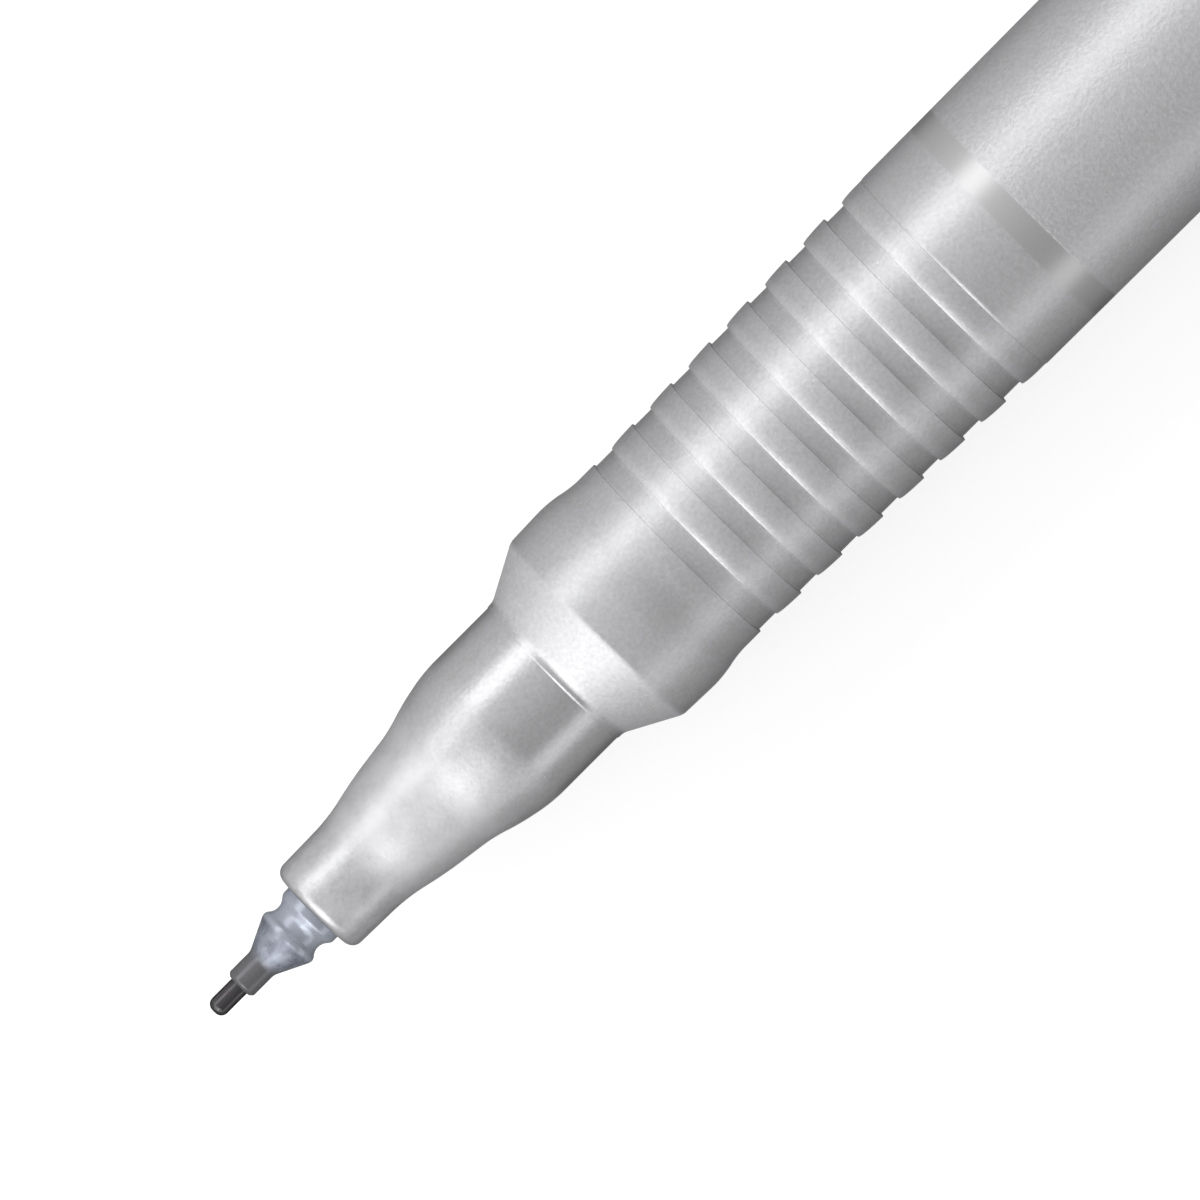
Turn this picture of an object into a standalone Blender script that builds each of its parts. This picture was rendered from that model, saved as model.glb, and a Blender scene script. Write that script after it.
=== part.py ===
"""A permanent marker with a ribbed grip, lying along X with its point towards -X and its cap on its rear end.

Metres, +Z up. Places along the pen are measured from the point of the nib, and radii from the pen's axis.
"""

from math import acos
from math import atan2
from math import cos
from math import hypot
from math import pi
from math import radians
from math import sin

import bmesh
import bpy
from mathutils import Matrix
from mathutils import Vector

# Nib
NIB_DIAMETER = 0.00086
NIB_SHOWING = 0.00145
NIB_IN_RESERVOIR = 0.007

# Nib holder
SLEEVE_DIAMETER = 0.00136
SLEEVE_LENGTH = 0.00129
SLEEVE_CHAMFER = 0.00014
CONE_DIAMETER = 0.0027
CONE_LENGTH = 0.00138
CONE_RIM_LENGTH = 0.00022
NECK_DIAMETER = 0.0023
NECK_LENGTH = 0.00092
NECK_SLOPE = 0.00014
SHANK_DIAMETER = 0.00278
SHANK_SHOWING = 0.00042
SHANK_IN_NOSE = 0.0052
TAIL_DIAMETER = 0.0021
TAIL_LENGTH = 0.0042

# Nose and cap seat of the grip section
NOSE_DIAMETER = 0.00438
NOSE_LENGTH = 0.00237
NOSE_EDGE_RADIUS = 0.0005
NOSE_DRAFT = 0.00005
NOSE_WALL = 0.0011
FIRST_FLARE_LENGTH = 0.0044
WAIST_DIAMETER = 0.00588
SECOND_FLARE_LENGTH = 0.003
SEAT_DIAMETER = 0.00732
SEAT_LENGTH = 0.00355
SEAT_RING_LENGTH = 0.0005
SEAT_RING_RISE = 0.00004

# Shoulder, finger stop and ribs of the grip section
SHOULDER_LENGTH = 0.0022
STOP_LENGTH = 0.002
STOP_CROWN = 0.00007
STOP_FALL_LENGTH = 0.0014
LAND_LENGTH = 0.00114
LAND_DROP = 0.00048
GROOVE_COUNT = 7
GROOVE_WIDTH = 0.00098
GROOVE_SLOPE = 0.00012
FIRST_GROOVE_DEPTH = 0.00012
LAST_GROOVE_DEPTH = 0.0002
RIB_WIDTH = 0.00126
RIB_RISE = 0.00005
GRIP_END_LENGTH = 0.0009
SPIGOT_LENGTH = 0.008
SPIGOT_WALL = 0.0005
SPIGOT_CHAMFER = 0.0002

# Barrel
BARREL_LENGTH = 0.0764
BARREL_WALL = 0.00063
BARREL_SWELL = 0.00009
BARREL_SWELL_LENGTH = 0.011

# Ink reservoir
RESERVOIR_DIAMETER = 0.0072
FILM_THICKNESS = 0.00012
FILM_OVERHANG = 0.0003
CHAMBER_SETBACK = 0.0005

# End plug
PLUG_IN_BARREL = 0.008
PLUG_WALL = 0.001
PLUG_END_WALL = 0.0012
PLUG_CHAMFER = 0.0004
FLANGE_LENGTH = 0.0014
FLANGE_RIM_LENGTH = 0.0007
POST_LENGTH = 0.006
POST_CHAMFER = 0.0005

# Cap
CAP_LENGTH = 0.032
CAP_WALL = 0.0012
CAP_TAPER = 0.0002
CAP_END_WALL = 0.0014
CAP_EDGE_RADIUS = 0.0008
CAP_MOUTH_CHAMFER = 0.0003
VENT_COUNT = 3
VENT_DIAMETER = 0.0011
VENT_INSET = 0.0004

# Clip of the cap
CLIP_WIDTH = 0.004
CLIP_THICKNESS = 0.0013
CLIP_GAP = 0.0011
CLIP_ROOT_LENGTH = 0.0036
CLIP_TIP_SETBACK = 0.0042
CLIP_BEAD_HEIGHT = 0.0006
CLIP_BEAD_LENGTH = 0.001
CLIP_BEAD_SLOPE = 0.0012
CLIP_EDGE_CHAMFER = 0.0006

# Cap liner
LINER_STEP = 0.0007
LINER_LEAD = 0.0004
LINER_END_WALL = 0.0008
LINER_MOUTH_CHAMFER = 0.0003
NIB_HEADROOM = 0.0014

# Clearances
NIB_GAP = 0.00005
HOLDER_GAP = 0.00006
FILM_GAP = 0.0001
RESERVOIR_GAP = 0.00018
SPIGOT_GAP = 0.00006
PLUG_GAP = 0.00008
CAP_GAP = 0.00005
LINER_GAP = 0.0001
LINER_SEAL_GAP = 0.00006
SEAM_GAP = 0.0001

# Fineness of the facets
SIDES = 40
HOLDER_SIDES = 24
NIB_SIDES = 16
VENT_SIDES = 12
FLARE_POINTS = 6
ARC_POINTS = 4
SMOOTH_ANGLE = radians(30)
WELD = 1e-7

# Places along the pen, from the nib's point
SLEEVE_FRONT = NIB_SHOWING
CONE_FRONT = SLEEVE_FRONT + SLEEVE_LENGTH
CONE_REAR = CONE_FRONT + CONE_LENGTH
NECK_FRONT = CONE_REAR + CONE_RIM_LENGTH
SHANK_FRONT = NECK_FRONT + NECK_LENGTH
NOSE_FRONT = SHANK_FRONT + SHANK_SHOWING
SHANK_REAR = NOSE_FRONT + SHANK_IN_NOSE
FLARE_FRONT = NOSE_FRONT + NOSE_LENGTH
WAIST = FLARE_FRONT + FIRST_FLARE_LENGTH
SEAT_FRONT = WAIST + SECOND_FLARE_LENGTH
RING_FRONT = SEAT_FRONT + SEAT_LENGTH
SHOULDER_FRONT = RING_FRONT + SEAT_RING_LENGTH
STOP_FRONT = SHOULDER_FRONT + SHOULDER_LENGTH
STOP_REAR = STOP_FRONT + STOP_LENGTH
LAND_FRONT = STOP_REAR + STOP_FALL_LENGTH
GROOVES_FRONT = LAND_FRONT + LAND_LENGTH
GROOVES_REAR = GROOVES_FRONT + GROOVE_COUNT * GROOVE_WIDTH + (GROOVE_COUNT - 1) * RIB_WIDTH
GRIP_REAR = GROOVES_REAR + GRIP_END_LENGTH
SPIGOT_REAR = GRIP_REAR + SPIGOT_LENGTH
BARREL_FRONT = GRIP_REAR + SEAM_GAP
BARREL_REAR = BARREL_FRONT + BARREL_LENGTH
FLANGE_FRONT = BARREL_REAR + SEAM_GAP
FLANGE_REAR = FLANGE_FRONT + FLANGE_LENGTH
PLUG_FRONT = FLANGE_FRONT - PLUG_IN_BARREL
POST_REAR = FLANGE_REAR + POST_LENGTH
CAP_MOUTH = FLANGE_REAR + SEAM_GAP
PEN_REAR = CAP_MOUTH + CAP_LENGTH
CHAMBER_FRONT = STOP_FRONT + CHAMBER_SETBACK
FILM_FRONT = CHAMBER_FRONT + SEAM_GAP
FILM_REAR = PLUG_FRONT - SEAM_GAP
RESERVOIR_FRONT = FILM_FRONT + FILM_OVERHANG
RESERVOIR_REAR = FILM_REAR - FILM_OVERHANG
NIB_REAR = RESERVOIR_FRONT + NIB_IN_RESERVOIR

# Depths in the cap, from its mouth, set by where the capped nose reaches
LINER_FRONT = SHOULDER_FRONT - FLARE_FRONT - LINER_LEAD
LINER_NARROWS = SHOULDER_FRONT - NOSE_FRONT
LINER_FLOOR = SHOULDER_FRONT + NIB_HEADROOM
LINER_REAR = LINER_FLOOR + LINER_END_WALL

# Radii, from the inside out
NIB_RADIUS = NIB_DIAMETER / 2
NIB_BORE = NIB_RADIUS + NIB_GAP
SHANK_BORE = SHANK_DIAMETER / 2 + HOLDER_GAP
TAIL_BORE = TAIL_DIAMETER / 2 + HOLDER_GAP
NOSE_RADIUS = NOSE_DIAMETER / 2
NOSE_REAR_RADIUS = NOSE_RADIUS + NOSE_DRAFT
WAIST_RADIUS = WAIST_DIAMETER / 2
SEAT_RADIUS = SEAT_DIAMETER / 2
RING_RADIUS = SEAT_RADIUS + SEAT_RING_RISE
NOSE_CAVITY = SEAT_RADIUS - NOSE_WALL
RESERVOIR_RADIUS = RESERVOIR_DIAMETER / 2
FILM_BORE = RESERVOIR_RADIUS + FILM_GAP
FILM_RADIUS = FILM_BORE + FILM_THICKNESS
CHAMBER_RADIUS = FILM_RADIUS + RESERVOIR_GAP
SPIGOT_RADIUS = CHAMBER_RADIUS + SPIGOT_WALL
SOCKET_RADIUS = SPIGOT_RADIUS + SPIGOT_GAP
GRIP_RADIUS = SOCKET_RADIUS + BARREL_WALL
LAND_RADIUS = GRIP_RADIUS - LAND_DROP
BARREL_RADIUS = GRIP_RADIUS + BARREL_SWELL
CAP_BORE = RING_RADIUS + CAP_GAP
CAP_RADIUS = CAP_BORE + CAP_WALL
CAP_END_RADIUS = CAP_RADIUS - CAP_TAPER
CAP_HOLLOW = CAP_BORE - LINER_STEP
LINER_RADIUS = CAP_BORE - LINER_GAP
LINER_BORE = NOSE_REAR_RADIUS + LINER_SEAL_GAP
CLIP_INNER = CAP_RADIUS + CLIP_GAP
CLIP_OUTER = CLIP_INNER + CLIP_THICKNESS

# The pen rests on a facet of its barrel and on one long edge of its clip
FACET_DEPTH = cos(pi / SIDES)
AXIS_HEIGHT = BARREL_RADIUS * FACET_DEPTH
CLIP_CORNER = hypot(CLIP_OUTER, CLIP_WIDTH / 2)
CLIP_HALF_ANGLE = atan2(CLIP_WIDTH / 2, CLIP_OUTER)
CLIP_LEAN = acos(AXIS_HEIGHT / CLIP_CORNER)
CLIP_REACH = CLIP_CORNER * sin(CLIP_LEAN + 2 * CLIP_HALF_ANGLE)
CAP_ROLL = pi - CLIP_LEAN - CLIP_HALF_ANGLE
AXIS_OFFSET = (CLIP_REACH - AXIS_HEIGHT) / 2


def clear_scene():
    for item in list(bpy.data.objects):
        bpy.data.objects.remove(item, do_unlink=True)


def plain_material(name, colour, roughness, metallic=0.0):
    material = bpy.data.materials.new(name)
    material.use_nodes = True
    shader = material.node_tree.nodes["Principled BSDF"]
    shader.inputs["Base Color"].default_value = (*colour, 1.0)
    shader.inputs["Roughness"].default_value = roughness
    shader.inputs["Metallic"].default_value = metallic
    return material


def arc(centre_x, centre_r, radius, start, end):
    """Points of an arc in the (x, radius) plane, with its angles in degrees from +x towards +radius."""
    points = []
    for step in range(ARC_POINTS + 1):
        angle = radians(start + (end - start) * step / ARC_POINTS)
        points.append((centre_x + radius * cos(angle), centre_r + radius * sin(angle)))
    return points


def eased(start_x, start_r, end_x, end_r, skip_first=False):
    """Points of a smooth S from one radius to another, level at both ends."""
    points = []
    for step in range(int(skip_first), FLARE_POINTS + 1):
        part = step / FLARE_POINTS
        ease = part * part * (3 - 2 * part)
        points.append((start_x + (end_x - start_x) * part, start_r + (end_r - start_r) * ease))
    return points


def finished(name, bm, material, parent, place=0.0):
    """Turns a bmesh into a smooth object under a parent, at a place along the parent's X axis."""
    mesh = bpy.data.meshes.new(name)
    bmesh.ops.recalc_face_normals(bm, faces=bm.faces)
    bm.to_mesh(mesh)
    bm.free()
    mesh.materials.append(material)
    mesh.shade_smooth()
    mesh.set_sharp_from_angle(angle=SMOOTH_ANGLE)
    item = bpy.data.objects.new(name, mesh)
    bpy.context.collection.objects.link(item)
    item.parent = parent
    item.location.x = place
    return item


def turned(name, outline, sides, material, parent, place=0.0):
    """A solid of revolution about X. An outline that leaves the axis is closed into a ring."""
    bm = bmesh.new()
    half_step = Matrix.Rotation(pi / sides, 4, "X")
    corners = []
    for x, radius in outline:
        corners.append(bm.verts.new(half_step @ Vector((x, 0, radius))))
    for first, second in zip(corners, corners[1:]):
        bm.edges.new((first, second))
    if outline[0][1] > 0:
        bm.edges.new((corners[-1], corners[0]))
    bmesh.ops.spin(
        bm,
        geom=bm.verts[:] + bm.edges[:],
        cent=(0, 0, 0),
        axis=(1, 0, 0),
        angle=2 * pi,
        steps=sides,
        use_merge=True,
    )
    bmesh.ops.remove_doubles(bm, verts=bm.verts, dist=WELD)
    return finished(name, bm, material, parent, place)


def helper(item):
    """Keeps a shape that only takes part in a Boolean out of the model."""
    item.hide_render = True
    item.display_type = "WIRE"
    return item


def combine(item, other, operation):
    boolean = item.modifiers.new(other.name, "BOOLEAN")
    boolean.operation = operation
    boolean.solver = "EXACT"
    boolean.object = other


def make_nib(pen, material):
    outline = [(0, 0)]
    outline += arc(NIB_RADIUS, 0, NIB_RADIUS, 180, 90)[1:]
    outline += [(NIB_REAR, NIB_RADIUS), (NIB_REAR, 0)]
    return turned("nib", outline, NIB_SIDES, material, pen)


def make_nib_holder(pen, material):
    sleeve = SLEEVE_DIAMETER / 2
    cone = CONE_DIAMETER / 2
    neck = NECK_DIAMETER / 2
    shank = SHANK_DIAMETER / 2
    tail = TAIL_DIAMETER / 2
    tail_rear = SHANK_REAR + TAIL_LENGTH
    outline = [
        (SLEEVE_FRONT, sleeve - SLEEVE_CHAMFER),
        (SLEEVE_FRONT + SLEEVE_CHAMFER, sleeve),
        (CONE_FRONT, sleeve),
        (CONE_REAR, cone),
        (NECK_FRONT, cone),
        (NECK_FRONT + NECK_SLOPE, neck),
        (SHANK_FRONT - NECK_SLOPE, neck),
        (SHANK_FRONT, shank),
        (SHANK_REAR - SEAM_GAP, shank),
        (SHANK_REAR - SEAM_GAP, tail),
        (tail_rear, tail),
        (tail_rear, NIB_BORE),
        (SLEEVE_FRONT, NIB_BORE),
    ]
    return turned("nib_holder", outline, HOLDER_SIDES, material, pen)


def grip_line(x):
    """Radius of the slim cone that the ribs' crests lie on."""
    return LAND_RADIUS + (GRIP_RADIUS - LAND_RADIUS) * (x - GROOVES_FRONT) / (GROOVES_REAR - GROOVES_FRONT)


def ribbed_outline():
    """The grooves from front to rear, with a rib that rises towards the rear between each two."""
    points = []
    for index in range(GROOVE_COUNT):
        front = GROOVES_FRONT + index * (GROOVE_WIDTH + RIB_WIDTH)
        rear = front + GROOVE_WIDTH
        part = index / (GROOVE_COUNT - 1)
        depth = FIRST_GROOVE_DEPTH + (LAST_GROOVE_DEPTH - FIRST_GROOVE_DEPTH) * part
        floor = grip_line((front + rear) / 2) - depth
        front_crest = grip_line(front) + (RIB_RISE / 2 if index > 0 else 0)
        rear_crest = grip_line(rear) - (RIB_RISE / 2 if index < GROOVE_COUNT - 1 else 0)
        points.append((front, front_crest))
        points.append((front + GROOVE_SLOPE, floor))
        points.append((rear - GROOVE_SLOPE, floor))
        points.append((rear, rear_crest))
    return points


def make_grip_section(pen, material):
    edge = NOSE_EDGE_RADIUS
    outline = [(NOSE_FRONT, SHANK_BORE)]
    outline += arc(NOSE_FRONT + edge, NOSE_RADIUS - edge, edge, 180, 90)
    outline += eased(FLARE_FRONT, NOSE_REAR_RADIUS, WAIST, WAIST_RADIUS)
    outline += eased(WAIST, WAIST_RADIUS, SEAT_FRONT, SEAT_RADIUS, skip_first=True)
    outline += [
        (RING_FRONT, SEAT_RADIUS),
        (RING_FRONT + SEAT_RING_RISE, RING_RADIUS),
        (SHOULDER_FRONT, RING_RADIUS),
        (STOP_FRONT, CAP_RADIUS - STOP_CROWN),
    ]
    outline += eased(STOP_REAR, CAP_RADIUS, LAND_FRONT, LAND_RADIUS)
    outline += ribbed_outline()
    outline += [
        (GRIP_REAR, GRIP_RADIUS),
        (GRIP_REAR, SPIGOT_RADIUS),
        (SPIGOT_REAR - SPIGOT_CHAMFER, SPIGOT_RADIUS),
        (SPIGOT_REAR, SPIGOT_RADIUS - SPIGOT_CHAMFER),
        (SPIGOT_REAR, CHAMBER_RADIUS),
        (CHAMBER_FRONT, CHAMBER_RADIUS),
        (CHAMBER_FRONT, NOSE_CAVITY),
        (SEAT_FRONT, NOSE_CAVITY),
        (SEAT_FRONT, TAIL_BORE),
        (SHANK_REAR, TAIL_BORE),
        (SHANK_REAR, SHANK_BORE),
    ]
    return turned("grip_section", outline, SIDES, material, pen)


def make_barrel(pen, material):
    socket_rear = SPIGOT_REAR + SEAM_GAP
    outline = [
        (BARREL_FRONT, GRIP_RADIUS),
        (BARREL_FRONT + BARREL_SWELL_LENGTH, BARREL_RADIUS),
        (BARREL_REAR, BARREL_RADIUS),
        (BARREL_REAR, CHAMBER_RADIUS),
        (socket_rear, CHAMBER_RADIUS),
        (socket_rear, SOCKET_RADIUS),
        (BARREL_FRONT, SOCKET_RADIUS),
    ]
    return turned("barrel", outline, SIDES, material, pen)


def make_ink_reservoir(pen, material):
    bore_rear = NIB_REAR + SEAM_GAP
    outline = [
        (bore_rear, 0),
        (bore_rear, NIB_BORE),
        (RESERVOIR_FRONT, NIB_BORE),
        (RESERVOIR_FRONT, RESERVOIR_RADIUS),
        (RESERVOIR_REAR, RESERVOIR_RADIUS),
        (RESERVOIR_REAR, 0),
    ]
    return turned("ink_reservoir", outline, SIDES, material, pen)


def make_reservoir_film(pen, material):
    outline = [
        (FILM_FRONT, FILM_RADIUS),
        (FILM_REAR, FILM_RADIUS),
        (FILM_REAR, FILM_BORE),
        (FILM_FRONT, FILM_BORE),
    ]
    return turned("reservoir_film", outline, SIDES, material, pen)


def make_end_plug(pen, material):
    shank = CHAMBER_RADIUS - PLUG_GAP
    hollow = SEAT_RADIUS - PLUG_WALL
    floor = POST_REAR - PLUG_END_WALL
    outline = [
        (floor, 0),
        (floor, hollow),
        (PLUG_FRONT, hollow),
        (PLUG_FRONT, shank - PLUG_CHAMFER),
        (PLUG_FRONT + PLUG_CHAMFER, shank),
        (FLANGE_FRONT, shank),
        (FLANGE_FRONT, BARREL_RADIUS),
        (FLANGE_FRONT + FLANGE_RIM_LENGTH, BARREL_RADIUS),
        (FLANGE_REAR, CAP_RADIUS),
        (FLANGE_REAR, SEAT_RADIUS),
        (POST_REAR - POST_CHAMFER, SEAT_RADIUS),
        (POST_REAR, SEAT_RADIUS - POST_CHAMFER),
        (POST_REAR, 0),
    ]
    return turned("end_plug", outline, SIDES, material, pen)


def make_clip(cap_axis, material):
    """The clip's side outline, extruded across its width, with its root sunk in the cap's wall."""
    rear = CAP_LENGTH - CAP_EDGE_RADIUS
    root_front = rear - CLIP_ROOT_LENGTH
    root_foot = (CAP_HOLLOW + CAP_END_RADIUS) / 2
    tip = CLIP_TIP_SETBACK
    bead = tip + CLIP_BEAD_SLOPE
    bead_rear = bead + CLIP_BEAD_LENGTH
    bead_foot = CLIP_INNER - CLIP_BEAD_HEIGHT
    outline = [
        (rear, root_foot),
        (rear, CLIP_OUTER - CLIP_EDGE_CHAMFER),
        (rear - CLIP_EDGE_CHAMFER, CLIP_OUTER),
        (tip + CLIP_EDGE_CHAMFER, CLIP_OUTER),
        (tip, CLIP_OUTER - CLIP_EDGE_CHAMFER),
        (tip, CLIP_INNER),
        (bead, bead_foot),
        (bead_rear, bead_foot),
        (bead_rear + CLIP_BEAD_SLOPE, CLIP_INNER),
        (root_front, CLIP_INNER),
        (root_front, root_foot),
    ]
    bm = bmesh.new()
    corners = [bm.verts.new((x, -CLIP_WIDTH / 2, height)) for x, height in outline]
    side = bm.faces.new(corners)
    grown = bmesh.ops.extrude_face_region(bm, geom=[side])["geom"]
    moved = [item for item in grown if isinstance(item, bmesh.types.BMVert)]
    bmesh.ops.translate(bm, verts=moved, vec=(0, CLIP_WIDTH, 0))
    return helper(finished("clip_shape", bm, material, cap_axis))


def make_vents(cap_axis, material):
    """Round holes through the end of the cap, which let air past the liner."""
    radius = VENT_DIAMETER / 2
    ring = CAP_HOLLOW - VENT_INSET - radius
    bm = bmesh.new()
    for index in range(VENT_COUNT):
        place = Matrix.Rotation(2 * pi * index / VENT_COUNT, 4, "X")
        place = place @ Matrix.Translation((CAP_LENGTH - CAP_END_WALL / 2, 0, ring))
        bmesh.ops.create_cone(
            bm,
            cap_ends=True,
            segments=VENT_SIDES,
            radius1=radius,
            radius2=radius,
            depth=2 * CAP_END_WALL,
            matrix=place @ Matrix.Rotation(pi / 2, 4, "Y"),
        )
    return helper(finished("vent_shape", bm, material, cap_axis))


def make_cap(cap_axis, material):
    floor = CAP_LENGTH - CAP_END_WALL
    liner_seat = LINER_REAR + SEAM_GAP
    edge = CAP_EDGE_RADIUS
    outline = [
        (floor, 0),
        (floor, CAP_HOLLOW),
        (liner_seat, CAP_HOLLOW),
        (liner_seat, CAP_BORE),
        (CAP_MOUTH_CHAMFER, CAP_BORE),
        (0, CAP_BORE + CAP_MOUTH_CHAMFER),
        (0, CAP_RADIUS),
    ]
    outline += arc(CAP_LENGTH - edge, CAP_END_RADIUS - edge, edge, 90, 0)
    outline += [(CAP_LENGTH, 0)]
    cap = turned("cap", outline, SIDES, material, cap_axis)
    combine(cap, make_clip(cap_axis, material), "UNION")
    combine(cap, make_vents(cap_axis, material), "DIFFERENCE")
    return cap


def make_cap_liner(cap_axis, material):
    nib_room = CONE_DIAMETER / 2 + LINER_SEAL_GAP
    outline = [
        (LINER_FLOOR, 0),
        (LINER_FLOOR, nib_room),
        (LINER_NARROWS, LINER_BORE),
        (LINER_FRONT + LINER_MOUTH_CHAMFER, LINER_BORE),
        (LINER_FRONT, LINER_BORE + LINER_MOUTH_CHAMFER),
        (LINER_FRONT, LINER_RADIUS),
        (LINER_REAR, LINER_RADIUS),
        (LINER_REAR, 0),
    ]
    return turned("cap_liner", outline, SIDES, material, cap_axis)


def make_axis(name, parent=None):
    axis = bpy.data.objects.new(name, None)
    bpy.context.collection.objects.link(axis)
    axis.parent = parent
    return axis


def main():
    clear_scene()
    silver = plain_material("pearl_silver_plastic", (0.46, 0.46, 0.47), 0.36, 0.35)
    coated = plain_material("coated_silver_plastic", (0.46, 0.46, 0.47), 0.45, 0.35)
    clear_grey = plain_material("clear_grey_plastic", (0.42, 0.46, 0.55), 0.2)
    nib_dark = plain_material("inked_nib", (0.03, 0.03, 0.032), 0.4)
    fibre = plain_material("inked_fibre", (0.06, 0.06, 0.07), 0.9)
    film = plain_material("film", (0.75, 0.78, 0.8), 0.15)
    plug_black = plain_material("black_plug_plastic", (0.02, 0.02, 0.022), 0.3)
    cap_black = plain_material("black_cap_plastic", (0.02, 0.02, 0.022), 0.25)
    liner_white = plain_material("white_liner_plastic", (0.8, 0.8, 0.78), 0.5)

    pen = make_axis("pen_axis")
    pen.location = (-PEN_REAR / 2, AXIS_OFFSET, AXIS_HEIGHT)
    make_nib(pen, nib_dark)
    make_nib_holder(pen, clear_grey)
    make_grip_section(pen, silver)
    make_barrel(pen, coated)
    make_ink_reservoir(pen, fibre)
    make_reservoir_film(pen, film)
    make_end_plug(pen, plug_black)

    cap_axis = make_axis("cap_axis", pen)
    cap_axis.location.x = CAP_MOUTH
    cap_axis.rotation_euler.x = CAP_ROLL
    make_cap(cap_axis, cap_black)
    make_cap_liner(cap_axis, liner_white)


main()
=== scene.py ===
"""The looks of a fine-point permanent marker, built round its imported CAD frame.

Metres, in the frame's own axes: the pen lies along X with its nib towards -X. An outline is a list of
corners, each with its place along the pen, its radius from the pen's axis and how far its rounding reaches.
"""

from math import cos
from math import pi
from math import radians
from math import sin

import bmesh
import bpy
from mathutils import Matrix
from mathutils import Vector


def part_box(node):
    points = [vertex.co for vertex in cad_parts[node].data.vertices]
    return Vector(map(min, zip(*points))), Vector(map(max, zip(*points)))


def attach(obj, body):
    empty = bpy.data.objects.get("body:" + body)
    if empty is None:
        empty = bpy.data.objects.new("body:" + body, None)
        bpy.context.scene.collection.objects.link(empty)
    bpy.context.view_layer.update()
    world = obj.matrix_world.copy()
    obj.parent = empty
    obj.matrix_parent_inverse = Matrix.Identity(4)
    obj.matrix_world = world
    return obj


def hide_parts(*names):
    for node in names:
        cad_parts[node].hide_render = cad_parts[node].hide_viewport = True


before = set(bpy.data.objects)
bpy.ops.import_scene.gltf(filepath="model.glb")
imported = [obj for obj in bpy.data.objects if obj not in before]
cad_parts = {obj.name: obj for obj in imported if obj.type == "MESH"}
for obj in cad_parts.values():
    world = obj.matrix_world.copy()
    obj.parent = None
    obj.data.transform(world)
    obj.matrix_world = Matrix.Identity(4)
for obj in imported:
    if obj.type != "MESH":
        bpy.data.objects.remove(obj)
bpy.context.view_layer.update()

# Places that the frame gives, along the pen from the nib's point
BARREL_LOW, BARREL_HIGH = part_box("barrel")
AXIS = Vector((0, (BARREL_LOW.y + BARREL_HIGH.y) / 2, (BARREL_LOW.z + BARREL_HIGH.z) / 2))
NIB_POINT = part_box("nib")[0].x
NIB_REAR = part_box("nib")[1].x - NIB_POINT
SLEEVE_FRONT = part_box("nib_holder")[0].x - NIB_POINT
TAIL_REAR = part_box("nib_holder")[1].x - NIB_POINT
NOSE_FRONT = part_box("grip_section")[0].x - NIB_POINT
SPIGOT_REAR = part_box("grip_section")[1].x - NIB_POINT
BARREL_FRONT = BARREL_LOW.x - NIB_POINT
BARREL_REAR = BARREL_HIGH.x - NIB_POINT
PLUG_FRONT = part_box("end_plug")[0].x - NIB_POINT
POST_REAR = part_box("end_plug")[1].x - NIB_POINT
CAP_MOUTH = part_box("cap")[0].x - NIB_POINT
CAP_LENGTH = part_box("cap")[1].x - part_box("cap")[0].x
LINER_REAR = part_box("cap_liner")[1].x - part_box("cap")[0].x

# Nib and nib holder
NIB_RADIUS = 0.00043
NIB_ROUNDING = 0.00034
NIB_BORE = 0.00048
SLEEVE_RADIUS = 0.00068
SLEEVE_CHAMFER = 0.00014
SLEEVE_REAR = 0.00274
SLEEVE_ROUNDING = 0.00012
CONE_RADIUS = 0.00135
CONE_REAR = 0.00412
CONE_ROUNDING = 0.00008
RIM_REAR = 0.0043
RIM_ROUNDING = 0.00009
NECK_RADIUS = 0.00113
NECK_FRONT = 0.00458
NECK_REAR = 0.00496
NECK_ROUNDING = 0.00016
SHANK_RADIUS = 0.00139
SHANK_FRONT = 0.0053
SHANK_REAR = 0.01078
SHANK_ROUNDING = 0.00008
TAIL_RADIUS = 0.00105

# Grip section, from its nose to its spigot
SHANK_BORE = 0.00145
TAIL_BORE = 0.00111
NOSE_RADIUS = 0.00219
NOSE_ROUNDING = 0.00045
FLARE_FRONT = 0.0087
FLARE_RADIUS = 0.00225
FLARE_REAR = 0.0105
FLARE_REAR_RADIUS = 0.00266
FLARE_ROUNDING = 0.0007
WAIST_FRONT = 0.0129
WAIST_RADIUS = 0.00299
WAIST_ROUNDING = 0.00052
SEAT_FLARE = 0.01395
SEAT_FLARE_RADIUS = 0.00334
SEAT_FRONT = 0.0155
SEAT_RADIUS = 0.00366
SEAT_ROUNDING = 0.0006
RING_FRONT = 0.01915
RING_SLOPE = 0.0001
RING_RISE = 0.00004
RING_EDGE = 0.00004
SHOULDER_FRONT = 0.0195
SHOULDER_ROUNDING = 0.00015
STOP_FRONT = 0.0217
STOP_FRONT_RADIUS = 0.00488
STOP_REAR = 0.0239
STOP_RADIUS = 0.00495
STOP_ROUNDING = 0.0006
LAND_FRONT = 0.02495
LAND_RADIUS = 0.00471
LAND_ROUNDING = 0.0004
GROOVES_FRONT = 0.02624
GROOVE_COUNT = 7
GROOVE_WIDTH = 0.00098
GROOVE_EDGE = 0.000005
GROOVE_UNDERCUT = 0.00001
FIRST_GROOVE_DEPTH = 0.00012
LAST_GROOVE_DEPTH = 0.0002
RIB_WIDTH = 0.00126
RIB_LEVEL = 0.000014
RIB_BROW = 0.00014
RIB_BROW_DROP = 0.00008
RIB_BROW_ROUNDING = 0.0001
RIB_CROWN = 0.00055
RIB_CROWN_DROP = 0.00004
RIB_CROWN_ROUNDING = 0.00028
RIB_PITCH = GROOVE_WIDTH + RIB_WIDTH
GROOVES_REAR = GROOVES_FRONT + GROOVE_COUNT * RIB_PITCH - RIB_WIDTH
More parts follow.
